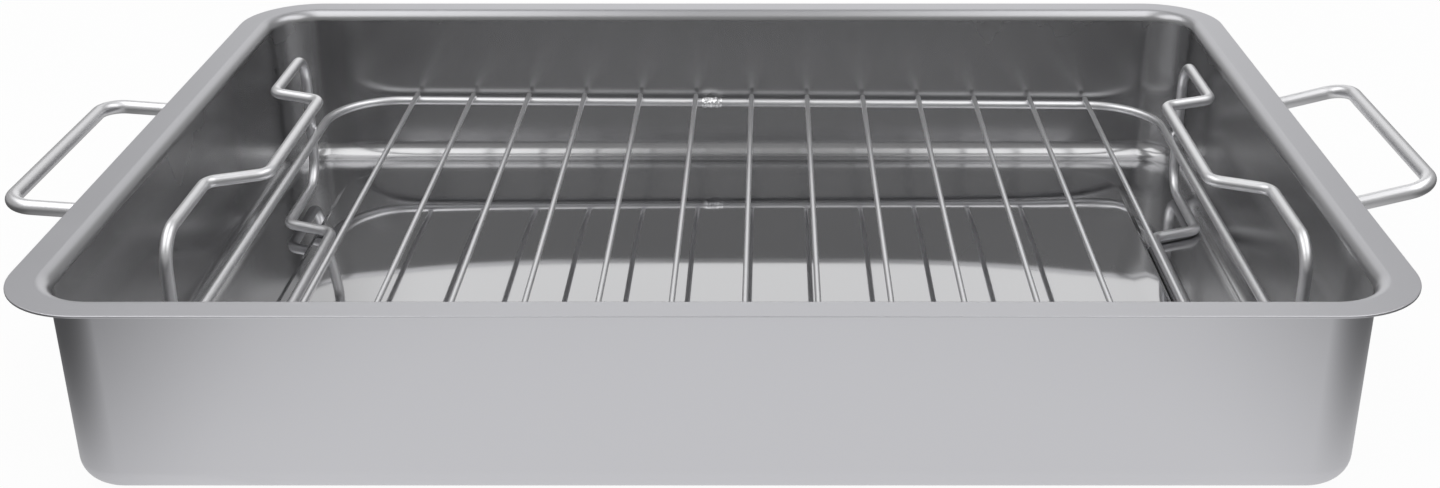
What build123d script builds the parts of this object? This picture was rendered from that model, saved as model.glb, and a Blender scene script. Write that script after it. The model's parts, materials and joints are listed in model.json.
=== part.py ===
from build123d import *
from math import asin, cos, degrees, radians, sin, tan
import os

# Roasting pan with a lift-out wire rack, in millimetres. The origin is the centre of the base,
# X runs along the long side, Y from the front to the back and Z up.

# Pan: one deep-drawn sheet of stainless steel
pan_length = 400.0
pan_width = 290.0
pan_height = 64.5
sheet = 0.8
flange_width = 11.2
flange_bend_radius = 3.4
rim_corner_radius = 28.0
wall_draft_angle = 0.7
base_radius = 8.0

# Panel pressed up in the base. The pan stands on the border round it, and juices gather there
panel_rise = 2.5
panel_foot_gap = 0.5
panel_side_margin = 14.5
panel_corner_radius = 22.0
panel_step_angle = 50.0
panel_step_radius = 0.6

# Wire handles, one at each end, and the pressed saddles in which they turn
handle_wire = 5.0
handle_span = 94.0
handle_reach = 40.4
handle_corner_radius = 8.5
handle_axis_drop = 13.0
left_handle_angle = 4.5
right_handle_angle = 14.5
handle_wall_gap = 0.35
saddle_bore_clearance = 0.1
saddle_sheet = 0.8
saddle_length = 62.0
saddle_flange_gap = 0.4
saddle_bend_radius = 0.8
saddle_corner_radius = 2.5

# Rack: ring, cross bars and end loops, all of round wire
ring_wire = 3.5
bar_wire = 2.0
loop_wire = 4.0
ring_corner_radius = 27.0
ring_wall_gap = 9.7
ring_rise = 21.8
ring_weld_length = 8.0
ring_weld_swell = 0.45
ring_weld_place = -13.0
bar_count = 13
bar_end_margin = 30.4
bar_shift = 2.4
bar_overhang = 1.0
loop_setback = 35.0
loop_height = 53.4
loop_corner_radius = 11.0
grip_length = 71.0
grip_inset = 18.5
grip_step = 7.5
grip_bend_radius = 5.0

# Where the loose rack stands in the pan: to the right and the back, with its left foot on the panel
rack_end_play = 5.4
rack_back_shift = 5.0
foot_gap = 0.3

# Overrun of a cutting body past the surface that it opens
overrun = 2.0

# Worked out from the sizes above
wall_slope = tan(radians(wall_draft_angle))
wall_top_half_length = pan_length / 2 - flange_width
wall_top_half_width = pan_width / 2 - flange_width
wall_corner_radius = rim_corner_radius - flange_width
inner_base_radius = base_radius - sheet
floor_half_length = wall_top_half_length - wall_slope * pan_height - base_radius
floor_half_width = wall_top_half_width - wall_slope * pan_height - base_radius
panel_half_length = floor_half_length - grip_inset - loop_wire / 2 - panel_foot_gap
panel_half_width = floor_half_width - panel_side_margin

handle_axis_z = pan_height - handle_axis_drop
handle_axis_reach = handle_wall_gap + handle_wire / 2
handle_axis_x = wall_top_half_length - wall_slope * handle_axis_drop + handle_axis_reach
saddle_wall_reach = handle_axis_reach * cos(radians(wall_draft_angle))
saddle_half_height = handle_axis_drop - sheet - flange_bend_radius - saddle_flange_gap

foot_level = sheet + foot_gap + loop_wire / 2
ring_level = foot_level + ring_rise
bar_level = ring_level + (ring_wire + bar_wire) / 2
loop_half_length = floor_half_length - rack_end_play
ring_half_length = loop_half_length - (loop_wire + ring_wire) / 2
ring_half_width = floor_half_width + inner_base_radius - ring_wall_gap
loop_half_width = ring_half_width - loop_setback
rack_tilt = degrees(asin(panel_rise / (2 * loop_half_length - grip_inset)))
tilt_rise = loop_half_length * sin(radians(rack_tilt))
foot_shift = foot_level * sin(radians(rack_tilt))
rack_place = Location((rack_end_play - foot_shift, rack_back_shift, tilt_rise), (0, rack_tilt, 0))


def rounded_plate(half_length, half_width, radius, level):
    """Rounded rectangle lying level, as the start of an extrusion."""
    return Plane.XY.offset(level) * RectangleRounded(2 * half_length, 2 * half_width, radius)


def edges_near(solid, level, tolerance):
    """Edges of a solid that lie wholly at one level."""
    low = level - tolerance
    high = level + tolerance
    return [e for e in solid.edges() if low < e.bounding_box().min.Z and e.bounding_box().max.Z < high]


def edges_within(solid, level, reach_x, reach_y):
    """Edges at one level that keep inside a reach each way."""
    boxes = [(e, e.bounding_box()) for e in edges_near(solid, level, sheet / 4)]
    return [e for e, box in boxes if box.max.X < reach_x and box.min.X > -reach_x
            and box.max.Y < reach_y and box.min.Y > -reach_y]


def wall_edges(solid, level):
    """Edges where the wall meets the flange at a level, without the flange's own outer edges."""
    return edges_within(
        solid, level, pan_length / 2 - flange_width / 2, pan_width / 2 - flange_width / 2
    )


def panel_edges(solid, level):
    """Edges where the base panel's step starts at a level, without those of the base radius."""
    return edges_within(solid, level, panel_half_length + 2 * sheet, panel_half_width + 2 * sheet)


def tub(shrink, top, bottom, radius):
    """Drafted tub whose side lies inside the pan's outer wall by the amount of shrink."""
    at_top = wall_slope * (pan_height - top)
    profile = rounded_plate(
        wall_top_half_length - shrink - at_top,
        wall_top_half_width - shrink - at_top,
        wall_corner_radius - shrink,
        top,
    )
    block = extrude(profile, amount=-(top - bottom), taper=wall_draft_angle)
    return fillet(edges_near(block, bottom, sheet / 2), radius)


def panel_block(grow, bottom, bend):
    """Raised block with the outline of the base panel, its sloping step and the bend at its top."""
    profile = rounded_plate(
        panel_half_length + grow, panel_half_width + grow, panel_corner_radius + grow, bottom
    )
    block = extrude(profile, amount=panel_rise, taper=90 - panel_step_angle)
    return fillet(edges_near(block, bottom + panel_rise, sheet / 4), bend)


def make_pan():
    """Tray with a flat flange, drawn in one piece at an even sheet thickness."""
    rim = extrude(
        rounded_plate(pan_length / 2, pan_width / 2, rim_corner_radius, pan_height), amount=-sheet
    )
    outside = rim + tub(0, pan_height, 0, base_radius)
    outside = fillet(wall_edges(outside, pan_height - sheet), flange_bend_radius)
    outside = outside - panel_block(0, 0, panel_step_radius)
    outside = fillet(panel_edges(outside, 0), panel_step_radius + sheet)

    inside = tub(sheet, pan_height, sheet, inner_base_radius)
    panel_shift = sheet * tan(radians(panel_step_angle / 2))
    inside = inside - panel_block(panel_shift, sheet, panel_step_radius + sheet)
    inside = fillet(panel_edges(inside, sheet), panel_step_radius)
    pan = outside - inside
    return fillet(wall_edges(pan, pan_height), flange_bend_radius + sheet)


def bent_wire(points, radii, diameter):
    """Closed wire form: straight runs through the corner points, bent to the given radii."""
    line = FilletPolyline(*points, radius=radii, close=True)
    section = Plane(origin=line @ 0, z_dir=line % 0) * Circle(diameter / 2)
    return sweep(section, path=line)


def make_handle(side, angle):
    """Closed wire handle: its inner run turns in the saddle, its outer run is the grip."""
    half_span = handle_span / 2
    corners = [(0, -half_span), (handle_reach, -half_span), (handle_reach, half_span), (0, half_span)]
    flat = bent_wire(
        [(side * x, y, 0) for x, y in corners], [handle_corner_radius] * len(corners), handle_wire
    )
    turned = flat.rotate(Axis.Y, -side * angle)
    return turned.moved(Location((side * handle_axis_x, 0, handle_axis_z)))


def channel_face(reach, radius, bend, half_height):
    """Section of a channel round the handle's axis that opens onto a face at a reach behind it."""
    back = saddle_wall_reach + overrun
    strip = Pos(-(back + reach) / 2, 0) * Rectangle(back - reach, 2 * half_height)
    throat = Pos(-reach / 2, 0) * Rectangle(reach, 2 * radius)
    face = strip + throat + Circle(radius)
    near_throat = (radius + half_height) / 2
    bends = [v for v in face.vertices() if v.X < -reach / 2 and abs(v.Y) < near_throat]
    return fillet(bends, bend)


def make_saddle(side):
    """Pressed strip with a round channel over the handle's inner run and an ear above and below."""
    bore = handle_wire / 2 + saddle_bore_clearance
    outer = bore + saddle_sheet
    front_reach = saddle_wall_reach - saddle_sheet
    front = channel_face(front_reach, outer, saddle_bend_radius, saddle_half_height)
    back_bend = saddle_bend_radius + saddle_sheet
    back = channel_face(saddle_wall_reach, bore, back_bend, saddle_half_height + overrun)
    saddle = extrude(Plane.XZ * (front - back), amount=saddle_length / 2, both=True)

    ear_height = saddle_half_height - outer
    at_ear = outer + ear_height / 2
    ear_corners = [e for e in saddle.edges().filter_by(Axis.X) if abs(e.center().Z) > at_ear]
    saddle = fillet(ear_corners, min(saddle_corner_radius, ear_height / 2))
    leaning = Location((handle_axis_x, 0, handle_axis_z), (0, wall_draft_angle, 0))
    saddle = saddle.moved(leaning)
    return saddle if side > 0 else mirror(saddle, about=Plane.YZ)


def make_ring():
    """Rack ring: a closed rounded rectangle of wire with its butt weld in the back run."""
    corners = [(-1, -1), (1, -1), (1, 1), (-1, 1)]
    ring = bent_wire(
        [(x * ring_half_length, y * ring_half_width, ring_level) for x, y in corners],
        [ring_corner_radius] * len(corners),
        ring_wire,
    )
    bead_radius = ring_wire / 2 + ring_weld_swell
    bead = Cylinder(bead_radius, ring_weld_length, rotation=(0, 90, 0))
    bead = fillet(bead.edges().filter_by(GeomType.CIRCLE), ring_weld_swell)
    return ring + bead.moved(Location((ring_weld_place, ring_half_width, ring_level)))


def make_bar(place):
    """Straight cross bar lying on the ring, its tips just past the ring's runs."""
    length = 2 * (ring_half_width + bar_overhang)
    return Cylinder(bar_wire / 2, length, rotation=(90, 0, 0)).moved(Location((place, 0, bar_level)))


def make_loop(side):
    """End loop: top run as the grip and bottom run as the foot, both stepped in at the middle."""
    outer = side * loop_half_length
    inner = side * (loop_half_length - grip_inset)
    half = grip_length / 2
    run = [
        (outer, -loop_half_width),
        (outer, -half - grip_step),
        (inner, -half),
        (inner, half),
        (outer, half + grip_step),
        (outer, loop_half_width),
    ]
    foot = [(x, y, foot_level) for x, y in run]
    grip = [(x, y, foot_level + loop_height) for x, y in reversed(run)]
    radii = [loop_corner_radius] + [grip_bend_radius] * (len(run) - 2) + [loop_corner_radius]
    return bent_wire(foot + grip, radii + radii, loop_wire)


def make_nodes():
    """Every piece of the object under its own name."""
    nodes = {
        "pan_body": make_pan(),
        "handle_saddle_left": make_saddle(-1),
        "handle_saddle_right": make_saddle(1),
        "handle_left": make_handle(-1, left_handle_angle),
        "handle_right": make_handle(1, right_handle_angle),
        "rack_ring": make_ring().moved(rack_place),
        "end_loop_left": make_loop(-1).moved(rack_place),
        "end_loop_right": make_loop(1).moved(rack_place),
    }
    bar_reach = ring_half_length - bar_end_margin
    bar_pitch = 2 * bar_reach / (bar_count - 1)
    for number in range(bar_count):
        place = bar_shift - bar_reach + number * bar_pitch
        nodes[f"rack_bar_{number + 1:02d}"] = make_bar(place).moved(rack_place)
    return nodes


os.makedirs("parts", exist_ok=True)
for name, shape in make_nodes().items():
    export_step(shape, f"parts/{name}.step")
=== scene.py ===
import json
from math import asin, cos, exp, pi, radians, sin, tan

import bpy
from mathutils import Matrix, Vector, noise


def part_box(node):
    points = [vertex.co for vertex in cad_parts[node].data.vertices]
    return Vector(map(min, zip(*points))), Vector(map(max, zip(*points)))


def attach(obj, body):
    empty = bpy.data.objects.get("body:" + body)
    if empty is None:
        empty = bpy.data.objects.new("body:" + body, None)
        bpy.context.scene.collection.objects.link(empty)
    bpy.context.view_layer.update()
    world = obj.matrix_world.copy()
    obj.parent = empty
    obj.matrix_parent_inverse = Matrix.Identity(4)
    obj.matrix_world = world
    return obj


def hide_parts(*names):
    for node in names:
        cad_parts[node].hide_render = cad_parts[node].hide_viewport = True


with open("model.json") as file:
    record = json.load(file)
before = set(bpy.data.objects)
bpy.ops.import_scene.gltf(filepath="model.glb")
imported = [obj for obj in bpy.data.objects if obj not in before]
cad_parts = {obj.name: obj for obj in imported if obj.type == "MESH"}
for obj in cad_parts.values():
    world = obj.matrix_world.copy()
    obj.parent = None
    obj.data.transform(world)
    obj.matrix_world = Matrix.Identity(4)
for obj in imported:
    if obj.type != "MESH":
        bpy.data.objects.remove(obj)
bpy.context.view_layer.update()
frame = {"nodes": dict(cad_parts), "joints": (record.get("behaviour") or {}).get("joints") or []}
mm = 0.001

# The viewpoint: a long side of the pan faces the lens, which stands above it at arm's length and
# looks down into it. The small shift is where the picture was cropped.
camera_place = (16.56 * mm, -567.9 * mm, 280.4 * mm)
camera_down_angle = 22.62
camera_lens = 43.85
camera_sensor = 36.0
camera_shift = (-0.0360, -0.0440)
camera_near = 10 * mm
camera_data = bpy.data.cameras.new("camera")
camera_data.lens = camera_lens
camera_data.sensor_width = camera_sensor
camera_data.sensor_fit = "HORIZONTAL"
camera_data.shift_x, camera_data.shift_y = camera_shift
camera_data.clip_start = camera_near
camera = bpy.data.objects.new("camera", camera_data)
camera.location = camera_place
camera.rotation_euler = (radians(90 - camera_down_angle), 0, 0)
bpy.context.scene.collection.objects.link(camera)
bpy.context.scene.camera = camera

# The pan: one sheet of stainless steel, deep-drawn to a tray with a flat rim and a pressed base panel.
# Its outside and rim have a satin finish, and its inside is polished; a darker tone on its inside walls
# is painted shade. One profile of the sheet is swept round the rim's outline, and the base panel has an
# outline of its own.
sheet = 0.8 * mm
flange_width = 11.2 * mm
flange_bend_radius = 3.4 * mm
rim_corner_radius = 28.0 * mm
edge_radius = 0.3 * mm
wall_draft_angle = 0.7
base_radius = 8.0 * mm
border_overlap = 2.0 * mm
panel_rise = 2.5 * mm
panel_end_margin = 21.0 * mm
panel_side_margin = 14.5 * mm
panel_corner_radius = 22.0 * mm
panel_step_angle = 50
panel_step_radius = 0.6 * mm
panel_edge_run = 4.0 * mm
panel_crown = 2.7 * mm
crown_power = 4
crown_fall = 1.5
streak_reach = 38.0 * mm
corner_steps = 20
long_side_steps = 16
short_side_steps = 12
turn_steps = 10
panel_rings = 28

# How far each part of the sheet is polished: not at all outside, and most on the base. The same value
# places the painted shade on the inside wall, which is darkest at the wall's top.
satin_polish, wall_top_polish, wall_foot_polish, radius_polish, base_polish = 0.0, 0.5, 0.6, 0.8, 1.0

_, pan_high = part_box("pan_body")
rim_half_length, rim_half_width, rim_level = pan_high


def rounded_path(corners, radii):
    """Points of a bent line, each with the direction that the surface faces there."""
    points = [Vector(c) for c in corners]
    path = []
    for index, point in enumerate(points):
        before = points[max(index - 1, 0)]
        after = points[min(index + 1, len(points) - 1)]
        if index in (0, len(points) - 1):
            along = (after - before).normalized()
            path.append((point, Vector((along.y, -along.x))))
            continue
        came = (point - before).normalized()
        goes = (after - point).normalized()
        turn = came.angle_signed(goes)
        reach = radii[index - 1] * tan(abs(turn) / 2)
        start = point - came * reach
        facing = Vector((came.y, -came.x))
        hand = 1 if turn > 0 else -1
        centre = start + facing * radii[index - 1] * hand
        for step in range(turn_steps + 1):
            angle = -turn * step / turn_steps
            turned_x = facing.x * cos(angle) - facing.y * sin(angle)
            turned_y = facing.x * sin(angle) + facing.y * cos(angle)
            face = Vector((turned_x, turned_y))
            path.append((centre - face * radii[index - 1] * hand, face))
    return path


def outline(half_x, half_y, radius):
    """Rounded rectangle, anticlockwise: each point with its outward direction."""
    corners = [(1, 1), (-1, 1), (-1, -1), (1, -1)]
    ring = []
    for quarter, (side_x, side_y) in enumerate(corners):
        centre = Vector((side_x * (half_x - radius), side_y * (half_y - radius)))
        for step in range(corner_steps + 1):
            angle = (quarter + step / corner_steps) * pi / 2
            outward = Vector((cos(angle), sin(angle)))
            ring.append((centre + outward * radius, outward))
        next_x, next_y = corners[(quarter + 1) % 4]
        next_start = Vector((next_x * (half_x - radius), next_y * (half_y - radius))) + outward * radius
        last = ring[-1][0]
        parts = long_side_steps if quarter % 2 == 0 else short_side_steps
        for part in range(1, parts):
            ring.append((last.lerp(next_start, part / parts), outward))
    return ring


def crown(x, y, half_x, half_y):
    """Height and slopes of the soft rise in the middle of the panel, from which the fat runs off."""
    share_x, share_y = x / half_x, y / half_y
    left_x = max(0.0, 1 - share_x ** crown_power)
    left_y = max(0.0, 1 - share_y ** crown_power)
    height = panel_crown * (left_x * left_y) ** crown_fall
    steepness = -panel_crown * crown_power * crown_fall
    fall_x = share_x ** (crown_power - 1) / half_x * left_x ** (crown_fall - 1)
    fall_y = share_y ** (crown_power - 1) / half_y * left_y ** (crown_fall - 1)
    slope_x = steepness * fall_x * left_y ** crown_fall
    slope_y = steepness * fall_y * left_x ** crown_fall
    return height, slope_x, slope_y


pan_points, pan_normals, pan_polish, pan_streaks = [], [], [], []


def add_ring(inset, level, face, polish, half_x, half_y, radius):
    """One ring of points at a level. The face is how far it looks inward and how far up."""
    half_x, half_y, radius = half_x - inset, half_y - inset, radius - inset
    for point, outward in outline(half_x, half_y, radius):
        pan_points.append((point.x, point.y, level))
        pan_normals.append((-outward.x * face.x, -outward.y * face.x, face.y))
        pan_polish.append(polish)
        from_corner = max(half_x - radius - abs(point.x), half_y - radius - abs(point.y), 0)
        pan_streaks.append(max(0.0, 1 - from_corner / streak_reach))


wall_slope = tan(radians(wall_draft_angle))
rim_sizes = (rim_half_length, rim_half_width, rim_corner_radius)
outer_offset = flange_width + wall_slope * rim_level
inner_offset = flange_width + sheet + wall_slope * (rim_level - sheet)
floor_offset = outer_offset + base_radius
border_offset = floor_offset + border_overlap
rim_bends = [base_radius - sheet, flange_bend_radius + sheet]
rim_bends += [edge_radius, edge_radius, flange_bend_radius, base_radius]
rim_path = rounded_path(
    [
        (border_offset, sheet),
        (inner_offset, sheet),
        (flange_width + sheet, rim_level),
        (0, rim_level),
        (0, rim_level - sheet),
        (flange_width + wall_slope * sheet, rim_level - sheet),
        (outer_offset, 0),
        (border_offset, 0),
    ],
    rim_bends,
)
panel_half_length = rim_half_length - floor_offset - panel_end_margin
panel_half_width = rim_half_width - floor_offset - panel_side_margin
panel_sizes = (panel_half_length, panel_half_width, panel_corner_radius)
step_run = panel_rise / tan(radians(panel_step_angle))
step_shift = sheet * tan(radians(panel_step_angle / 2))
panel_inset = step_run + panel_edge_run
panel_bends = [panel_step_radius + sheet, panel_step_radius]
panel_path = rounded_path(
    [
        (panel_inset, sheet + panel_rise),
        (step_run - step_shift, sheet + panel_rise),
        (-step_shift, sheet),
        (-border_overlap, sheet),
    ],
    panel_bends,
)
under_path = rounded_path(
    [(-border_overlap, 0), (0, 0), (step_run, panel_rise), (panel_inset, panel_rise)],
    panel_bends,
)


def add_panel_rings(level, up, order, polish):
    """Rings of the panel from its middle outward, or back."""
    half_x, half_y, radius = (size - panel_inset for size in panel_sizes)
    for ring in order:
        share = ring / panel_rings
        for point, _ in outline(half_x, half_y, radius):
            x, y = point.x * share, point.y * share
            height, slope_x, slope_y = crown(x, y, half_x, half_y)
            pan_points.append((x, y, level + height))
            pan_normals.append(Vector((-slope_x, -slope_y, 1)).normalized() * up)
            pan_polish.append(polish)
            pan_streaks.append(0.0)


# The rings run from the middle of the base inside, up and over the rim, and back under the base. The
# polish fades up the wall and ends with the bend to the flange. The painted shade on the inside wall is
# darkest at its top and lightens toward the foot and over the bend to the flange. The profile reaches
# the wall's foot at the end of its first bend, and the flange at the end of its second.
add_panel_rings(sheet + panel_rise, 1, range(1, panel_rings), base_polish)
for point, face in panel_path:
    add_ring(point.x, point.y, face, base_polish, *panel_sizes)
wall_foot, flange_start = turn_steps + 1, 2 * turn_steps + 2
for index, (point, face) in enumerate(rim_path):
    if index <= wall_foot:
        polish = radius_polish - (radius_polish - wall_foot_polish) * index / wall_foot
    else:
        polish = wall_top_polish * max(0, flange_start - index) / turn_steps
    add_ring(point.x, point.y, face, polish, *rim_sizes)
for point, face in under_path:
    add_ring(point.x, point.y, face, satin_polish, *panel_sizes)
add_panel_rings(panel_rise, -1, range(panel_rings - 1, 0, -1), satin_polish)

ring_size = 4 * (corner_steps + 1) + 2 * (long_side_steps - 1) + 2 * (short_side_steps - 1)
ring_total = len(pan_points) // ring_size
pan_faces = []
for ring in range(ring_total - 1):
    for place in range(ring_size):
        beside = (place + 1) % ring_size
        here, there = ring * ring_size, (ring + 1) * ring_size
        pan_faces.append((here + place, there + place, there + beside, here + beside))
for level, up, ring, polish in (
    (sheet + panel_rise + panel_crown, 1, 0, base_polish),
    (panel_rise + panel_crown, -1, ring_total - 1, satin_polish),
):
    middle = len(pan_points)
    pan_points.append((0, 0, level))
    pan_normals.append((0, 0, up))
    pan_polish.append(polish)
    pan_streaks.append(0.0)
    for place in range(ring_size):
        first, second = ring * ring_size + place, ring * ring_size + (place + 1) % ring_size
        pan_faces.append((middle, first, second) if up > 0 else (first, middle, second))
pan_mesh = bpy.data.meshes.new("pan")
pan_mesh.from_pydata(pan_points, [], pan_faces)
pan_mesh.polygons.foreach_set("use_smooth", [True] * len(pan_mesh.polygons))
pan_mesh.normals_split_custom_set_from_vertices(pan_normals)
for layer, values in (("polish", pan_polish), ("corner_streaks", pan_streaks)):
    pan_mesh.attributes.new(layer, "FLOAT", "POINT").data.foreach_set("value", values)
pan = bpy.data.objects.new("drawn_pan", pan_mesh)
bpy.context.scene.collection.objects.link(pan)


def new_group(name, inputs, outputs):
    """A shader node group with named sockets, given as (name, kind, default)."""
    group = bpy.data.node_groups.new(name, "ShaderNodeTree")
    for socket_name, kind, default in inputs:
        socket = group.interface.new_socket(socket_name, in_out="INPUT", socket_type=kind)
        socket.default_value = default
    for socket_name, kind in outputs:
        group.interface.new_socket(socket_name, in_out="OUTPUT", socket_type=kind)
    return group, group.nodes.new("NodeGroupInput"), group.nodes.new("NodeGroupOutput")


def feed(tree, socket, value):
    """Links a socket to another one, or sets it to a constant. None leaves it as it is."""
    if isinstance(value, bpy.types.NodeSocket):
        tree.links.new(value, socket)
    elif value is not None:
        socket.default_value = value


def add_node(tree, kind, settings=None, ordered=(), **named):
    """A node with its settings. Ordered values feed its first sockets, named ones the sockets they name."""
    node = tree.nodes.new(kind)
    for key, value in (settings or {}).items():
        setattr(node, key, value)
    for socket, value in zip(node.inputs, ordered):
        feed(tree, socket, value)
    for key, value in named.items():
        feed(tree, node.inputs[key.replace("_", " ")], value)
    return node


def worked_out(tree, operation, *values):
    """What a Math node makes of the values."""
    return add_node(tree, "ShaderNodeMath", {"operation": operation}, values).outputs[0]


# Satin grain: soft cloudy changes of gloss and tone that a brushed or tumbled steel surface has, and
# fine marks along the way it was drawn. It puts out a tone, a roughness and a fine height.
cloud_detail, grain_detail = 3.0, 4.0
noise_middle = 0.5
grain, grain_in, grain_out = new_group(
    "satin_grain",
    [
        ("Tone", "NodeSocketColor", (0.6, 0.6, 0.61, 1)),
        ("Tone Change", "NodeSocketFloat", 0.02),
        ("Roughness", "NodeSocketFloat", 0.3),
        ("Roughness Change", "NodeSocketFloat", 0.04),
        ("Cloud Scale", "NodeSocketFloat", 30.0),
        ("Grain Scale", "NodeSocketFloat", 900.0),
        ("Stretch", "NodeSocketVector", (1.0, 1.0, 1.0)),
        ("Place", "NodeSocketVector", (0.0, 0.0, 0.0)),
    ],
    [("Tone", "NodeSocketColor"), ("Roughness", "NodeSocketFloat"), ("Height", "NodeSocketFloat")],
)
asked = grain_in.outputs
stretched = add_node(
    grain, "ShaderNodeVectorMath", {"operation": "MULTIPLY"}, (asked["Place"], asked["Stretch"])
)
cloud = add_node(
    grain, "ShaderNodeTexNoise", Vector=asked["Place"], Scale=asked["Cloud Scale"], Detail=cloud_detail
)
fine_marks = add_node(
    grain, "ShaderNodeTexNoise", Vector=stretched.outputs[0], Scale=asked["Grain Scale"], Detail=grain_detail
)
cloud_change = worked_out(grain, "SUBTRACT", cloud.outputs["Fac"], noise_middle)
rough_change = worked_out(grain, "MULTIPLY", cloud_change, asked["Roughness Change"])
rough = worked_out(grain, "ADD", asked["Roughness"], rough_change)
tone_change = worked_out(grain, "MULTIPLY_ADD", cloud_change, asked["Tone Change"], 1.0)
tone = add_node(grain, "ShaderNodeVectorMath", {"operation": "SCALE"}, (asked["Tone"],), Scale=tone_change)
grain.links.new(tone.outputs[0], grain_out.inputs["Tone"])
grain.links.new(rough, grain_out.inputs["Roughness"])
grain.links.new(fine_marks.outputs["Fac"], grain_out.inputs["Height"])


def new_steel(name):
    """A bare metal and its node tree."""
    material = bpy.data.materials.new(name)
    material.use_nodes = True
    material.node_tree.nodes["Principled BSDF"].inputs["Metallic"].default_value = 1.0
    return material, material.node_tree


def object_place(tree):
    """Where a point lies on the object."""
    return add_node(tree, "ShaderNodeTexCoord").outputs["Object"]


def give_grain(tree, place, **looks):
    """Gives a steel its satin grain, with the looks that the grain's inputs name."""
    surface = add_node(tree, "ShaderNodeGroup", {"node_tree": grain}, Place=place, **looks)
    shader = tree.nodes["Principled BSDF"]
    tree.links.new(surface.outputs["Tone"], shader.inputs["Base Color"])
    tree.links.new(surface.outputs["Roughness"], shader.inputs["Roughness"])
    return surface.outputs["Height"]


def give_relief(tree, height, depth):
    """Gives a steel fine relief. The depth is what a height of one stands for."""
    bump = add_node(tree, "ShaderNodeBump", Strength=1.0, Distance=depth, Height=height)
    tree.links.new(bump.outputs["Normal"], tree.nodes["Principled BSDF"].inputs["Normal"])


def graded(tree, value, stops):
    """A ramp that gives each share of the value its own grey or tone."""
    ramp = add_node(tree, "ShaderNodeValToRGB", Fac=value)
    bands = ramp.color_ramp.elements
    while len(bands) < len(stops):
        bands.new(0.5)
    for band, (share, tone) in zip(bands, stops):
        band.position, band.color = share, (*tone, 1)
    return ramp.outputs["Color"]


# Painted shade: the inside wall's tone is darker than the rest of the same steel and stands in for the dim
# reflections inside the pan.
satin_tone, wall_painted_shade_tone, polished_tone = (0.60, 0.60, 0.625), (0.42, 0.42, 0.425), (0.57, 0.57, 0.58)
satin_roughness, wall_roughness, bend_roughness, polished_roughness = 0.40, 0.27, 0.17, 0.045
satin_roughness_change = 0.05
satin_grain_scale = 800.0
satin_stretch = (1.0, 1.0, 0.2)
satin_grain_depth = 0.0015 * mm
pan_steel, pan_tree = new_steel("pan_sheet_steel")
pan_place = object_place(pan_tree)
polish_and_shade_value = add_node(pan_tree, "ShaderNodeAttribute", {"attribute_name": "polish"}).outputs["Fac"]
polish_steps = (satin_polish, wall_top_polish, radius_polish, base_polish)
gloss = [(rough,) * 3 for rough in (satin_roughness, wall_roughness, bend_roughness, polished_roughness)]
tones_with_wall_shade = [satin_tone, wall_painted_shade_tone, polished_tone, polished_tone]
satin_height = give_grain(
    pan_tree,
    pan_place,
    Roughness=graded(pan_tree, polish_and_shade_value, list(zip(polish_steps, gloss))),
    Tone=graded(pan_tree, polish_and_shade_value, list(zip(polish_steps, tones_with_wall_shade))),
    Roughness_Change=satin_roughness_change,
    Grain_Scale=satin_grain_scale,
    Stretch=satin_stretch,
)

# Drawing marks: soft upright streaks that the press leaves inside the corners, where the sheet gathers.
# The satin grain ends where the polish begins.
streak_scale = 190.0
streak_stretch = (1.0, 1.0, 0.06)
streak_detail = 2.0
streak_share = 9.0
streak_place = add_node(pan_tree, "ShaderNodeMapping", Vector=pan_place, Scale=streak_stretch)
streaks = add_node(
    pan_tree, "ShaderNodeTexNoise", Vector=streak_place.outputs[0], Scale=streak_scale, Detail=streak_detail
)
streak_mask = add_node(pan_tree, "ShaderNodeAttribute", {"attribute_name": "corner_streaks"})
inside_mask = worked_out(pan_tree, "MULTIPLY", streak_mask.outputs["Fac"], polish_and_shade_value)
streak_size = worked_out(pan_tree, "MULTIPLY", inside_mask, streak_share)
streak_height = worked_out(pan_tree, "MULTIPLY", streak_size, streaks.outputs["Fac"])
satin_share = add_node(pan_tree, "ShaderNodeMapRange", None, (polish_and_shade_value, 0.0, wall_top_polish, 1.0, 0.0))
pan_height_value = worked_out(
    pan_tree, "MULTIPLY_ADD", satin_height, satin_share.outputs[0], streak_height
)
give_relief(pan_tree, pan_height_value, satin_grain_depth)
pan_mesh.materials.append(pan_steel)
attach(pan, "pan")
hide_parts("pan_body")

# The handle saddles: pressed strips of the same steel, spot-welded to the end walls under the rim.
# Each one wraps the inner run of its handle, which turns in it.
saddle_grain_depth = 0.003 * mm
saddle_steel, saddle_tree = new_steel("saddle_steel")
saddle_height = give_grain(
    saddle_tree,
    object_place(saddle_tree),
    Tone=(0.56, 0.56, 0.58, 1),
    Roughness=0.30,
    Roughness_Change=0.06,
    Grain_Scale=900.0,
    Stretch=(0.15, 1.0, 1.0),
)
give_relief(saddle_tree, saddle_height, saddle_grain_depth)
for node in ("handle_saddle_left", "handle_saddle_right"):
    frame["nodes"][node].data.materials.clear()
    frame["nodes"][node].data.materials.append(saddle_steel)

# The handles: closed rectangles of bright 5 mm wire, bent cold and butt-welded inside the saddle.
# Each turns about its inner run, and its outer run is the grip.
handle_wire = 5.0 * mm
handle_span = 94.0 * mm
handle_reach = 40.4 * mm
handle_corner_radius = 8.5 * mm
handle_angles = {"left": 4.5, "right": 14.5}
handle_bodies = {"left": "left_handle", "right": "right_handle"}
bend_steps = 24
ring_spacing = 0.8 * mm
wire_sides = 28

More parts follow.
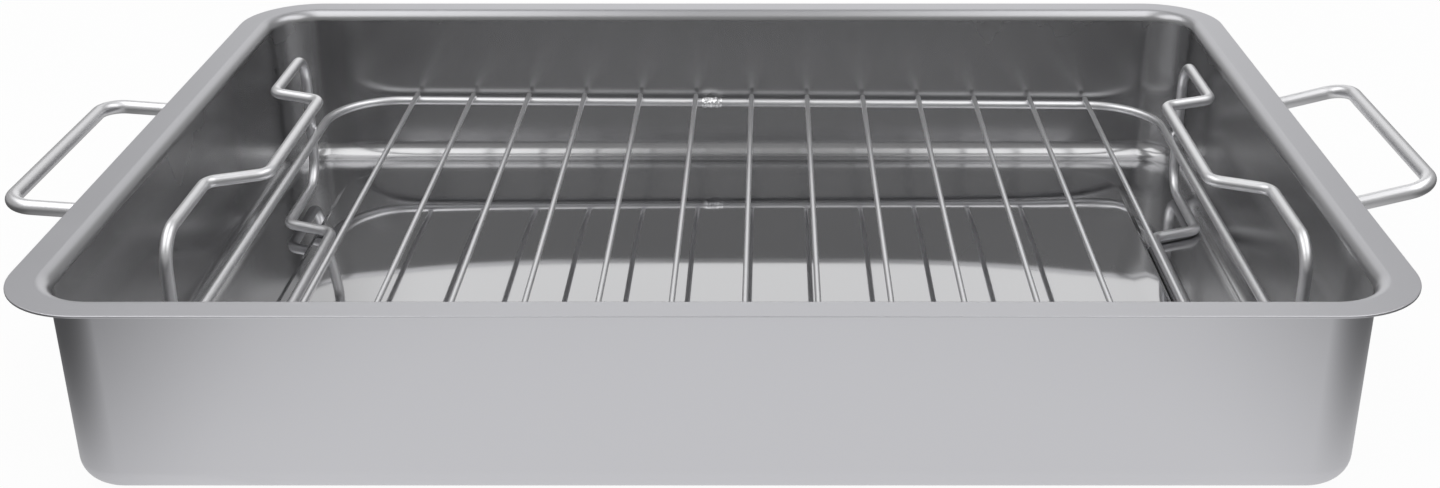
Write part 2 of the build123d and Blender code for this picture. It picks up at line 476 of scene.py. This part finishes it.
# Drawn and tumbled wire is pale and nearly matt, and its gloss changes a little along its length. Each
# point of a wire knows its place in the section and along the wire, and the changes follow them.
wire_steel, wire_tree = new_steel("bright_wire_steel")
section_place = add_node(wire_tree, "ShaderNodeAttribute", {"attribute_name": "section_place"})
along_wire = add_node(wire_tree, "ShaderNodeAttribute", {"attribute_name": "along_wire"})
along_place = add_node(wire_tree, "ShaderNodeCombineXYZ", Z=along_wire.outputs["Fac"])
wire_place = add_node(
    wire_tree,
    "ShaderNodeVectorMath",
    {"operation": "ADD"},
    (section_place.outputs["Vector"], along_place.outputs[0]),
)
give_grain(
    wire_tree,
    wire_place.outputs[0],
    Tone=(0.84, 0.84, 0.855, 1),
    Roughness=0.38,
    Roughness_Change=0.06,
)


def new_shape_tree(name, inputs, output):
    """A Geometry Nodes tree with named inputs, given as (name, kind, default), and one output."""
    tree = bpy.data.node_groups.new(name, "GeometryNodeTree")
    for socket_name, kind, default in inputs:
        socket = tree.interface.new_socket(socket_name, in_out="INPUT", socket_type=kind)
        if default is not None:
            socket.default_value = default
    tree.interface.new_socket(output, in_out="OUTPUT", socket_type="NodeSocketGeometry")
    return tree, tree.nodes.new("NodeGroupInput"), tree.nodes.new("NodeGroupOutput")


def finish_tree(tree, shape, steel, out):
    """Ends a tree with smooth real faces of the given steel."""
    smoothed = add_node(tree, "GeometryNodeSetShadeSmooth", Geometry=shape)
    real = add_node(tree, "GeometryNodeRealizeInstances", Geometry=smoothed.outputs["Geometry"])
    coated = add_node(tree, "GeometryNodeSetMaterial", Geometry=real.outputs["Geometry"], Material=steel)
    tree.links.new(coated.outputs["Geometry"], out.inputs[0])


bent_wire, wire_in, wire_out = new_shape_tree(
    "bent_wire",
    [
        ("Corner Points", "NodeSocketGeometry", None),
        ("Wire Diameter", "NodeSocketFloat", handle_wire),
        ("Bend Steps", "NodeSocketInt", bend_steps),
        ("Ring Spacing", "NodeSocketFloat", ring_spacing),
        ("Sides", "NodeSocketInt", wire_sides),
        ("Steel", "NodeSocketMaterial", None),
    ],
    "Wire",
)
corner_line = add_node(bent_wire, "GeometryNodeMeshToCurve", Mesh=wire_in.outputs["Corner Points"])
bend_size = add_node(
    bent_wire, "GeometryNodeInputNamedAttribute", {"data_type": "FLOAT"}, Name="bend_radius"
)
bent_line = add_node(
    bent_wire,
    "GeometryNodeFilletCurve",
    {"mode": "POLY"},
    Curve=corner_line.outputs["Curve"],
    Count=wire_in.outputs["Bend Steps"],
    Radius=bend_size.outputs[0],
)
even_line = add_node(
    bent_wire,
    "GeometryNodeResampleCurve",
    {"mode": "LENGTH"},
    Curve=bent_line.outputs["Curve"],
    Length=wire_in.outputs["Ring Spacing"],
)
spline_place = add_node(bent_wire, "GeometryNodeSplineParameter")
marked_line = add_node(
    bent_wire,
    "GeometryNodeStoreNamedAttribute",
    {"data_type": "FLOAT", "domain": "POINT"},
    Geometry=even_line.outputs["Curve"],
    Name="along_wire",
    Value=spline_place.outputs["Length"],
)
round_section = add_node(
    bent_wire,
    "GeometryNodeCurvePrimitiveCircle",
    {"mode": "RADIUS"},
    Resolution=wire_in.outputs["Sides"],
    Radius=worked_out(bent_wire, "MULTIPLY", wire_in.outputs["Wire Diameter"], 0.5),
)
section_point = add_node(bent_wire, "GeometryNodeInputPosition")
marked_section = add_node(
    bent_wire,
    "GeometryNodeStoreNamedAttribute",
    {"data_type": "FLOAT_VECTOR", "domain": "POINT"},
    Geometry=round_section.outputs["Curve"],
    Name="section_place",
    Value=section_point.outputs[0],
)
tube = add_node(
    bent_wire,
    "GeometryNodeCurveToMesh",
    Curve=marked_line.outputs["Geometry"],
    Profile_Curve=marked_section.outputs["Geometry"],
)
finish_tree(bent_wire, tube.outputs["Mesh"], wire_in.outputs["Steel"], wire_out)


def set_inputs(modifier, tree, values):
    """Sets a modifier's named inputs by their sockets' identifiers."""
    for item in tree.interface.items_tree:
        if item.item_type == "SOCKET" and item.in_out == "INPUT" and item.name in values:
            modifier[item.identifier] = values[item.name]


def new_piece(name, points, edges=(), faces=()):
    """An object at the origin with a mesh of its own."""
    mesh = bpy.data.meshes.new(name)
    mesh.from_pydata(points, list(edges), list(faces))
    mesh.polygons.foreach_set("use_smooth", [True] * len(mesh.polygons))
    piece = bpy.data.objects.new(name, mesh)
    bpy.context.scene.collection.objects.link(piece)
    return piece


def shaped(piece, tree, values):
    """Runs a tree on a piece with the given inputs and keeps what it makes as the piece's plain mesh."""
    modifier = piece.modifiers.new(tree.name, "NODES")
    modifier.node_group = tree
    set_inputs(modifier, tree, values)
    bpy.context.view_layer.update()
    evaluated = piece.evaluated_get(bpy.context.evaluated_depsgraph_get())
    made = bpy.data.meshes.new_from_object(evaluated)
    piece.modifiers.remove(modifier)
    piece.data = made
    return piece


def wire_form(name, points, radii, diameter):
    """Closed wire bent round the corner points."""
    piece = new_piece(name, points, [(i, (i + 1) % len(points)) for i in range(len(points))])
    piece.data.attributes.new("bend_radius", "FLOAT", "POINT").data.foreach_set("value", radii)
    return shaped(piece, bent_wire, {"Wire Diameter": diameter, "Steel": wire_steel})


hinges = [joint for joint in frame["joints"] if joint["type"] == "hinge"]
hinge_places = {joint["child"]: Vector(joint["pos_m"]) for joint in hinges}
for side, hand in (("left", -1), ("right", 1)):
    axis = hinge_places[handle_bodies[side]]
    angle = radians(handle_angles[side])
    reach_x, reach_z = hand * handle_reach * cos(angle), handle_reach * sin(angle)
    half = handle_span / 2
    corners = [
        axis + Vector((0, -half, 0)),
        axis + Vector((reach_x, -half, reach_z)),
        axis + Vector((reach_x, half, reach_z)),
        axis + Vector((0, half, 0)),
    ]
    handle = wire_form(f"wire_handle_{side}", corners, [handle_corner_radius] * 4, handle_wire)
    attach(handle, handle_bodies[side])
    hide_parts(f"handle_{side}")

# The rack's ring: 3.5 mm wire bent to a rounded rectangle, its ends butt-welded in the back run. The
# rack lies loose in the pan, with its left foot on the raised panel, so all of it leans a little.
ring_wire = 3.5 * mm
ring_corner_radius = 27.0 * mm
ring_wall_gap = 9.7 * mm
ring_rise = 21.8 * mm
loop_wire = 4.0 * mm
grip_inset = 18.5 * mm
foot_gap = 0.3 * mm
rack_end_play = 5.4 * mm
rack_back_shift = 5.0 * mm

floor_half_length = rim_half_length - floor_offset
floor_half_width = rim_half_width - floor_offset
loop_half_length = floor_half_length - rack_end_play
ring_half_length = loop_half_length - (loop_wire + ring_wire) / 2
ring_half_width = floor_half_width + base_radius - sheet - ring_wall_gap
foot_level = sheet + foot_gap + loop_wire / 2
ring_level = foot_level + ring_rise
rack_tilt = asin(panel_rise / (2 * loop_half_length - grip_inset))
rack_shift_x = rack_end_play - foot_level * sin(rack_tilt)
rack_shift_z = loop_half_length * sin(rack_tilt)
rack_shift = Matrix.Translation((rack_shift_x, rack_back_shift, rack_shift_z))
rack_place = rack_shift @ Matrix.Rotation(rack_tilt, 4, "Y")


def on_rack(x, y, z):
    """A place of the rack in the object's frame."""
    return rack_place @ Vector((x, y, z))


ring_corners = [
    on_rack(x * ring_half_length, y * ring_half_width, ring_level)
    for x, y in ((-1, -1), (1, -1), (1, 1), (-1, 1))
]
ring = wire_form("rack_ring_wire", ring_corners, [ring_corner_radius] * 4, ring_wire)
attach(ring, "rack")
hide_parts("rack_ring")

# The ring's butt weld: a rough bead where the steel has melted and set round the joint, with a nick
# in its top where it ends. Its lumps catch more light than the smooth wire.
bead_length = 8.8 * mm
bead_swell = 0.38 * mm
bead_place = -14.2 * mm
bead_root = 0.1 * mm
bead_end_power = 6
bead_roughness = 0.45 * mm
bead_lumps = (5.2, 2.4)
nick_share, nick_width_share = 0.62, 0.11
nick_depth = 0.55 * mm
bead_rings, bead_sides = 40, 36
weld_grain_depth = 0.03 * mm
weld_steel, weld_tree = new_steel("weld_steel")
weld_height = give_grain(
    weld_tree,
    object_place(weld_tree),
    Tone=(0.90, 0.90, 0.91, 1),
    Roughness=0.30,
    Roughness_Change=0.25,
    Grain_Scale=1500.0,
)
give_relief(weld_tree, weld_height, weld_grain_depth)
bead_points, bead_faces = [], []
for station in range(bead_rings + 1):
    share = 2 * station / bead_rings - 1
    body = 1 - share ** bead_end_power
    for side in range(bead_sides):
        angle = 2 * pi * side / bead_sides
        round_y, round_z = cos(angle), sin(angle)
        lump_place = Vector((share * bead_lumps[0], round_y * bead_lumps[1], round_z * bead_lumps[1]))
        swell = bead_root + bead_swell + noise.noise(lump_place) * bead_roughness
        nick = nick_depth * exp(-((share - nick_share) / nick_width_share) ** 2) * max(0.0, round_z)
        radius = ring_wire / 2 - bead_root + body * swell - nick
        along = bead_place + share * bead_length / 2
        bead_points.append(on_rack(along, ring_half_width + radius * round_y, ring_level + radius * round_z))
for station in range(bead_rings):
    for side in range(bead_sides):
        beside = (side + 1) % bead_sides
        here, there = station * bead_sides, (station + 1) * bead_sides
        bead_faces.append((here + side, here + beside, there + beside, there + side))
bead_faces.append(tuple(reversed(range(bead_sides))))
bead_faces.append(tuple(bead_rings * bead_sides + side for side in range(bead_sides)))
bead = new_piece("ring_weld_bead", bead_points, faces=bead_faces)
bead.data.materials.append(weld_steel)
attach(bead, "rack")

# The end loops: 4 mm wire. The top run is the grip, the bottom run the foot, both stepped in at the
# middle, and the posts between them are welded to the outside of the ring.
loop_setback = 35.0 * mm
loop_height = 53.4 * mm
loop_corner_radius = 11.0 * mm
grip_bend_radius = 5.0 * mm
grip_length = 71.0 * mm
grip_step = 7.5 * mm
loop_half_width = ring_half_width - loop_setback
for side, hand in (("left", -1), ("right", 1)):
    outer = hand * loop_half_length
    inner = hand * (loop_half_length - grip_inset)
    half = grip_length / 2
    run = [
        (outer, -loop_half_width),
        (outer, -half - grip_step),
        (inner, -half),
        (inner, half),
        (outer, half + grip_step),
        (outer, loop_half_width),
    ]
    foot = [on_rack(x, y, foot_level) for x, y in run]
    grip = [on_rack(x, y, foot_level + loop_height) for x, y in reversed(run)]
    radii = [loop_corner_radius] + [grip_bend_radius] * (len(run) - 2) + [loop_corner_radius]
    loop = wire_form(f"end_loop_wire_{side}", foot + grip, radii + radii, loop_wire)
    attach(loop, "rack")
    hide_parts(f"end_loop_{side}")

# The cross bars: thirteen 2 mm wires cut to length, laid on the ring and resistance-welded to it.
# Their cut tips stand just past the ring's runs.
bar_nodes = [name for name in frame["nodes"] if name.startswith("rack_bar_")]
bar_count = len(bar_nodes)
bar_wire = 2.0 * mm
bar_end_margin = 30.4 * mm
bar_shift = 2.4 * mm
bar_overhang = 1.0 * mm
bar_level = ring_level + (ring_wire + bar_wire) / 2
bar_reach = ring_half_length - bar_end_margin
bar_pitch = 2 * bar_reach / (bar_count - 1)
bar_half_length = ring_half_width + bar_overhang
bar_sides = 20
bar_stations = 60
tip_radius = 0.35 * mm
tip_steps = 5

half_rod = [(0.0, 0.0)]
for step in range(tip_steps + 1):
    angle = pi / 2 * step / tip_steps
    half_rod.append((tip_radius * (1 - cos(angle)), bar_wire / 2 - tip_radius * (1 - sin(angle))))
half_rod = [(inset - bar_half_length, radius) for inset, radius in half_rod]
start = half_rod[-1][0]
middle_rod = [(start - 2 * start * step / bar_stations, bar_wire / 2) for step in range(1, bar_stations)]
stations = half_rod + middle_rod + [(-along, radius) for along, radius in reversed(half_rod)]
rod_points, rod_faces = [], []
for along, radius in stations:
    for part in range(bar_sides):
        angle = 2 * pi * part / bar_sides
        rod_points.append((radius * cos(angle), along, radius * sin(angle)))
for station in range(len(stations) - 1):
    for part in range(bar_sides):
        beside = (part + 1) % bar_sides
        here, there = station * bar_sides, (station + 1) * bar_sides
        rod_faces.append((here + part, there + part, there + beside, here + beside))
bars = new_piece("cross_bars", rod_points, faces=rod_faces)
section = [value for x, _, z in rod_points for value in (x, z, 0)]
lengthwise = [y for _, y, _ in rod_points]
bars.data.attributes.new("section_place", "FLOAT_VECTOR", "POINT").data.foreach_set("vector", section)
bars.data.attributes.new("along_wire", "FLOAT", "POINT").data.foreach_set("value", lengthwise)

bar_row, row_in, row_out = new_shape_tree(
    "bar_row",
    [
        ("Bar", "NodeSocketGeometry", None),
        ("Count", "NodeSocketInt", bar_count),
        ("First Place", "NodeSocketVector", (0.0, 0.0, 0.0)),
        ("Pitch", "NodeSocketVector", (bar_pitch, 0.0, 0.0)),
        ("Steel", "NodeSocketMaterial", None),
    ],
    "Bars",
)
bar_places = add_node(
    bar_row,
    "GeometryNodeMeshLine",
    {"mode": "OFFSET"},
    Count=row_in.outputs["Count"],
    Start_Location=row_in.outputs["First Place"],
    Offset=row_in.outputs["Pitch"],
)
bar_copies = add_node(
    bar_row,
    "GeometryNodeInstanceOnPoints",
    Points=bar_places.outputs["Mesh"],
    Instance=row_in.outputs["Bar"],
)
finish_tree(bar_row, bar_copies.outputs["Instances"], row_in.outputs["Steel"], row_out)
bar_first = on_rack(bar_shift - bar_reach, 0, bar_level)
bar_second = on_rack(bar_shift - bar_reach + bar_pitch, 0, bar_level)
shaped(bars, bar_row, {"First Place": bar_first, "Pitch": bar_second - bar_first, "Steel": wire_steel})
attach(bars, "rack")
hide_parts(*bar_nodes)

# The welds: where two wires cross, or a saddle's ear lies on the wall, a little steel has flowed and
# set as a small smooth swelling. No two are quite alike.
least_weld_scale, most_weld_scale = 0.8, 1.15
weld_lean = 0.12
weld_segments, weld_rings = 20, 12
bar_weld_size, bar_weld_seed = (1.35 * mm, 1.15 * mm, 0.5 * mm), 3
loop_weld_size, loop_weld_seed = (0.6 * mm, 1.7 * mm, 1.4 * mm), 11
weld_spots, spot_in, spot_out = new_shape_tree(
    "weld_spots",
    [
        ("Places", "NodeSocketGeometry", None),
        ("Half Size", "NodeSocketVector", (mm, mm, mm)),
        ("Least Scale", "NodeSocketFloat", least_weld_scale),
        ("Most Scale", "NodeSocketFloat", most_weld_scale),
        ("Lean", "NodeSocketVector", (weld_lean, weld_lean, weld_lean)),
        ("Seed", "NodeSocketInt", bar_weld_seed),
        ("Steel", "NodeSocketMaterial", None),
    ],
    "Welds",
)
ball = add_node(
    weld_spots, "GeometryNodeMeshUVSphere", Segments=weld_segments, Rings=weld_rings, Radius=1.0
)
blob = add_node(
    weld_spots,
    "GeometryNodeTransform",
    Geometry=ball.outputs["Mesh"],
    Scale=spot_in.outputs["Half Size"],
)
spot_scale = add_node(
    weld_spots,
    "FunctionNodeRandomValue",
    {"data_type": "FLOAT"},
    (None, None, spot_in.outputs["Least Scale"], spot_in.outputs["Most Scale"]),
    Seed=spot_in.outputs["Seed"],
)
lean_back = add_node(
    weld_spots, "ShaderNodeVectorMath", {"operation": "SCALE"}, (spot_in.outputs["Lean"],), Scale=-1.0
)
spot_lean = add_node(
    weld_spots,
    "FunctionNodeRandomValue",
    {"data_type": "FLOAT_VECTOR"},
    (lean_back.outputs[0], spot_in.outputs["Lean"]),
    Seed=spot_in.outputs["Seed"],
)
spots = add_node(
    weld_spots,
    "GeometryNodeInstanceOnPoints",
    Points=spot_in.outputs["Places"],
    Instance=blob.outputs["Geometry"],
    Rotation=spot_lean.outputs[0],
    Scale=spot_scale.outputs[1],
)
finish_tree(weld_spots, spots.outputs["Instances"], spot_in.outputs["Steel"], spot_out)

bar_weld_places = [
    on_rack(bar_shift - bar_reach + number * bar_pitch, y * ring_half_width, ring_level + ring_wire / 2)
    for number in range(bar_count)
    for y in (-1, 1)
]
loop_weld_places = [
    on_rack(x * (ring_half_length + ring_wire / 2), y * loop_half_width, ring_level)
    for x in (-1, 1)
    for y in (-1, 1)
]
for name, places, half_size, seed in (
    ("bar_welds", bar_weld_places, bar_weld_size, bar_weld_seed),
    ("loop_welds", loop_weld_places, loop_weld_size, loop_weld_seed),
):
    welds = new_piece(name, places)
    shaped(welds, weld_spots, {"Half Size": half_size, "Seed": seed, "Steel": weld_steel})
    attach(welds, "rack")

# Spot welds of the saddles: two shallow round marks on each ear, where the electrodes pressed the
# strip on the pan's wall. They don't lean, because the strip is flat there.
saddle_weld_reach = 22.0 * mm
ear_offset = 5.9 * mm
ear_face = 0.82 * mm
mark_size, mark_seed = (0.10 * mm, 1.8 * mm, 1.8 * mm), 5
mark_values = {"Half Size": mark_size, "Lean": (0.0, 0.0, 0.0), "Seed": mark_seed, "Steel": weld_steel}
axis_level = hinge_places["left_handle"].z
for side, hand in (("left", -1), ("right", 1)):
    places = []
    for above in (-1, 1):
        level = axis_level + above * ear_offset
        wall = rim_half_length - flange_width - wall_slope * (rim_level - level)
        places += [(hand * (wall + ear_face), y * saddle_weld_reach, level) for y in (-1, 1)]
    marks = new_piece(f"saddle_welds_{side}", places)
    shaped(marks, weld_spots, mark_values)
    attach(marks, "pan")

# The stage: a pale table top that runs on under a plain white backdrop. What the steel mirrors of the
# table is white in front of the pan and falls off to its sides. From below the table is clear, so that
# the underside of the pan can be looked at.
table_size = 6.0
table_tone = (0.9, 0.9, 0.9, 1)
seen_white_share = 0.95
left_fall_places, left_fall_levels = (-0.28, -0.14), (0.05, 0.93)
right_fall_places, right_fall_levels = (0.15, 0.31), (1.05, 0.10)
table_half = table_size / 2
table_corners = [(x * table_half, y * table_half, 0) for x, y in ((-1, -1), (1, -1), (1, 1), (-1, 1))]
table = new_piece("table_top", table_corners, faces=[(0, 1, 2, 3)])


def soft_step(tree, value, places, levels=(0.0, 1.0)):
    """A level that goes softly from one to the other between two places."""
    step = add_node(
        tree,
        "ShaderNodeMapRange",
        {"interpolation_type": "SMOOTHSTEP"},
        (value, *places, *levels),
    )
    return step.outputs[0]


table_paint = bpy.data.materials.new("table_paint")
table_paint.use_nodes = True
paint_tree = table_paint.node_tree
paint_tree.nodes.remove(paint_tree.nodes["Principled BSDF"])
table_parts = add_node(paint_tree, "ShaderNodeSeparateXYZ", Vector=object_place(paint_tree))
left_fall = soft_step(paint_tree, table_parts.outputs["X"], left_fall_places, left_fall_levels)
right_fall = soft_step(paint_tree, table_parts.outputs["X"], right_fall_places, right_fall_levels)
table_level = worked_out(paint_tree, "MULTIPLY", left_fall, right_fall)
ray = add_node(paint_tree, "ShaderNodeLightPath")
table_glow = worked_out(paint_tree, "MAXIMUM", table_level, ray.outputs["Is Camera Ray"])
seen = worked_out(paint_tree, "MAXIMUM", ray.outputs["Is Camera Ray"], ray.outputs["Is Glossy Ray"])
white_share = worked_out(paint_tree, "MULTIPLY", seen, seen_white_share)
matt = add_node(paint_tree, "ShaderNodeBsdfDiffuse", Color=table_tone)
glow = add_node(paint_tree, "ShaderNodeEmission", Strength=table_glow)
top_side = add_node(paint_tree, "ShaderNodeMixShader", None, (white_share, matt.outputs[0], glow.outputs[0]))
facing = add_node(paint_tree, "ShaderNodeNewGeometry")
clear = add_node(paint_tree, "ShaderNodeBsdfTransparent")
both_sides = add_node(
    paint_tree,
    "ShaderNodeMixShader",
    None,
    (facing.outputs["Backfacing"], top_side.outputs[0], clear.outputs[0]),
)
paint_tree.links.new(both_sides.outputs[0], paint_tree.nodes["Material Output"].inputs["Surface"])
table.data.materials.append(table_paint)

# The studio: a white backdrop behind the pan, as wide and as high as its rim mirrors it, in a dim room.
# Straight into the lens all of it is white.
dim_room = 0.37
backdrop_side_fade = (0.38, 0.21)
backdrop_behind_fade = (0.0, 0.4)
backdrop_top_fade = (0.85, 0.40)
world = bpy.data.worlds.new("studio")
world.use_nodes = True
bpy.context.scene.world = world
sky = world.node_tree
direction = add_node(sky, "ShaderNodeTexCoord")
sky_parts = add_node(sky, "ShaderNodeSeparateXYZ", Vector=direction.outputs["Generated"])
aside = worked_out(sky, "ABSOLUTE", sky_parts.outputs["X"])
within_sides = soft_step(sky, aside, backdrop_side_fade)
behind = soft_step(sky, sky_parts.outputs["Y"], backdrop_behind_fade)
under_top = soft_step(sky, sky_parts.outputs["Z"], backdrop_top_fade)
back_and_wide = worked_out(sky, "MULTIPLY", within_sides, behind)
bright = worked_out(sky, "MULTIPLY", back_and_wide, under_top)
room_level = add_node(sky, "ShaderNodeMapRange", None, (bright, 0.0, 1.0, dim_room, 1.0))
sky_ray = add_node(sky, "ShaderNodeLightPath")
sky_value = worked_out(sky, "MAXIMUM", room_level.outputs[0], sky_ray.outputs["Is Camera Ray"])
backdrop = sky.nodes["Background"]
backdrop.inputs["Color"].default_value = (1, 1, 1, 1)
sky.links.new(sky_value, backdrop.inputs["Strength"])

# Two long soft boxes hang over the ends of the pan, one each side of the lens, and leave a gap between
# them. They draw the highlights at both ends of the base's bend.
box_width, box_length = 0.75, 1.5
box_aside, box_forward, box_height = 0.52, -0.18, 0.95
box_lean = 28.0
box_level = 1.3
for name, hand in (("left_soft_box", -1), ("right_soft_box", 1)):
    box_data = bpy.data.lights.new(name, "AREA")
    box_data.shape = "RECTANGLE"
    box_data.size, box_data.size_y = box_width, box_length
    box_data.energy = box_level * pi * box_width * box_length
    soft_box = bpy.data.objects.new(name, box_data)
    soft_box.location = (hand * box_aside, box_forward, box_height)
    soft_box.rotation_euler = (0, radians(hand * box_lean), 0)
    bpy.context.scene.collection.objects.link(soft_box)

bpy.context.scene.view_settings.view_transform = "Standard"
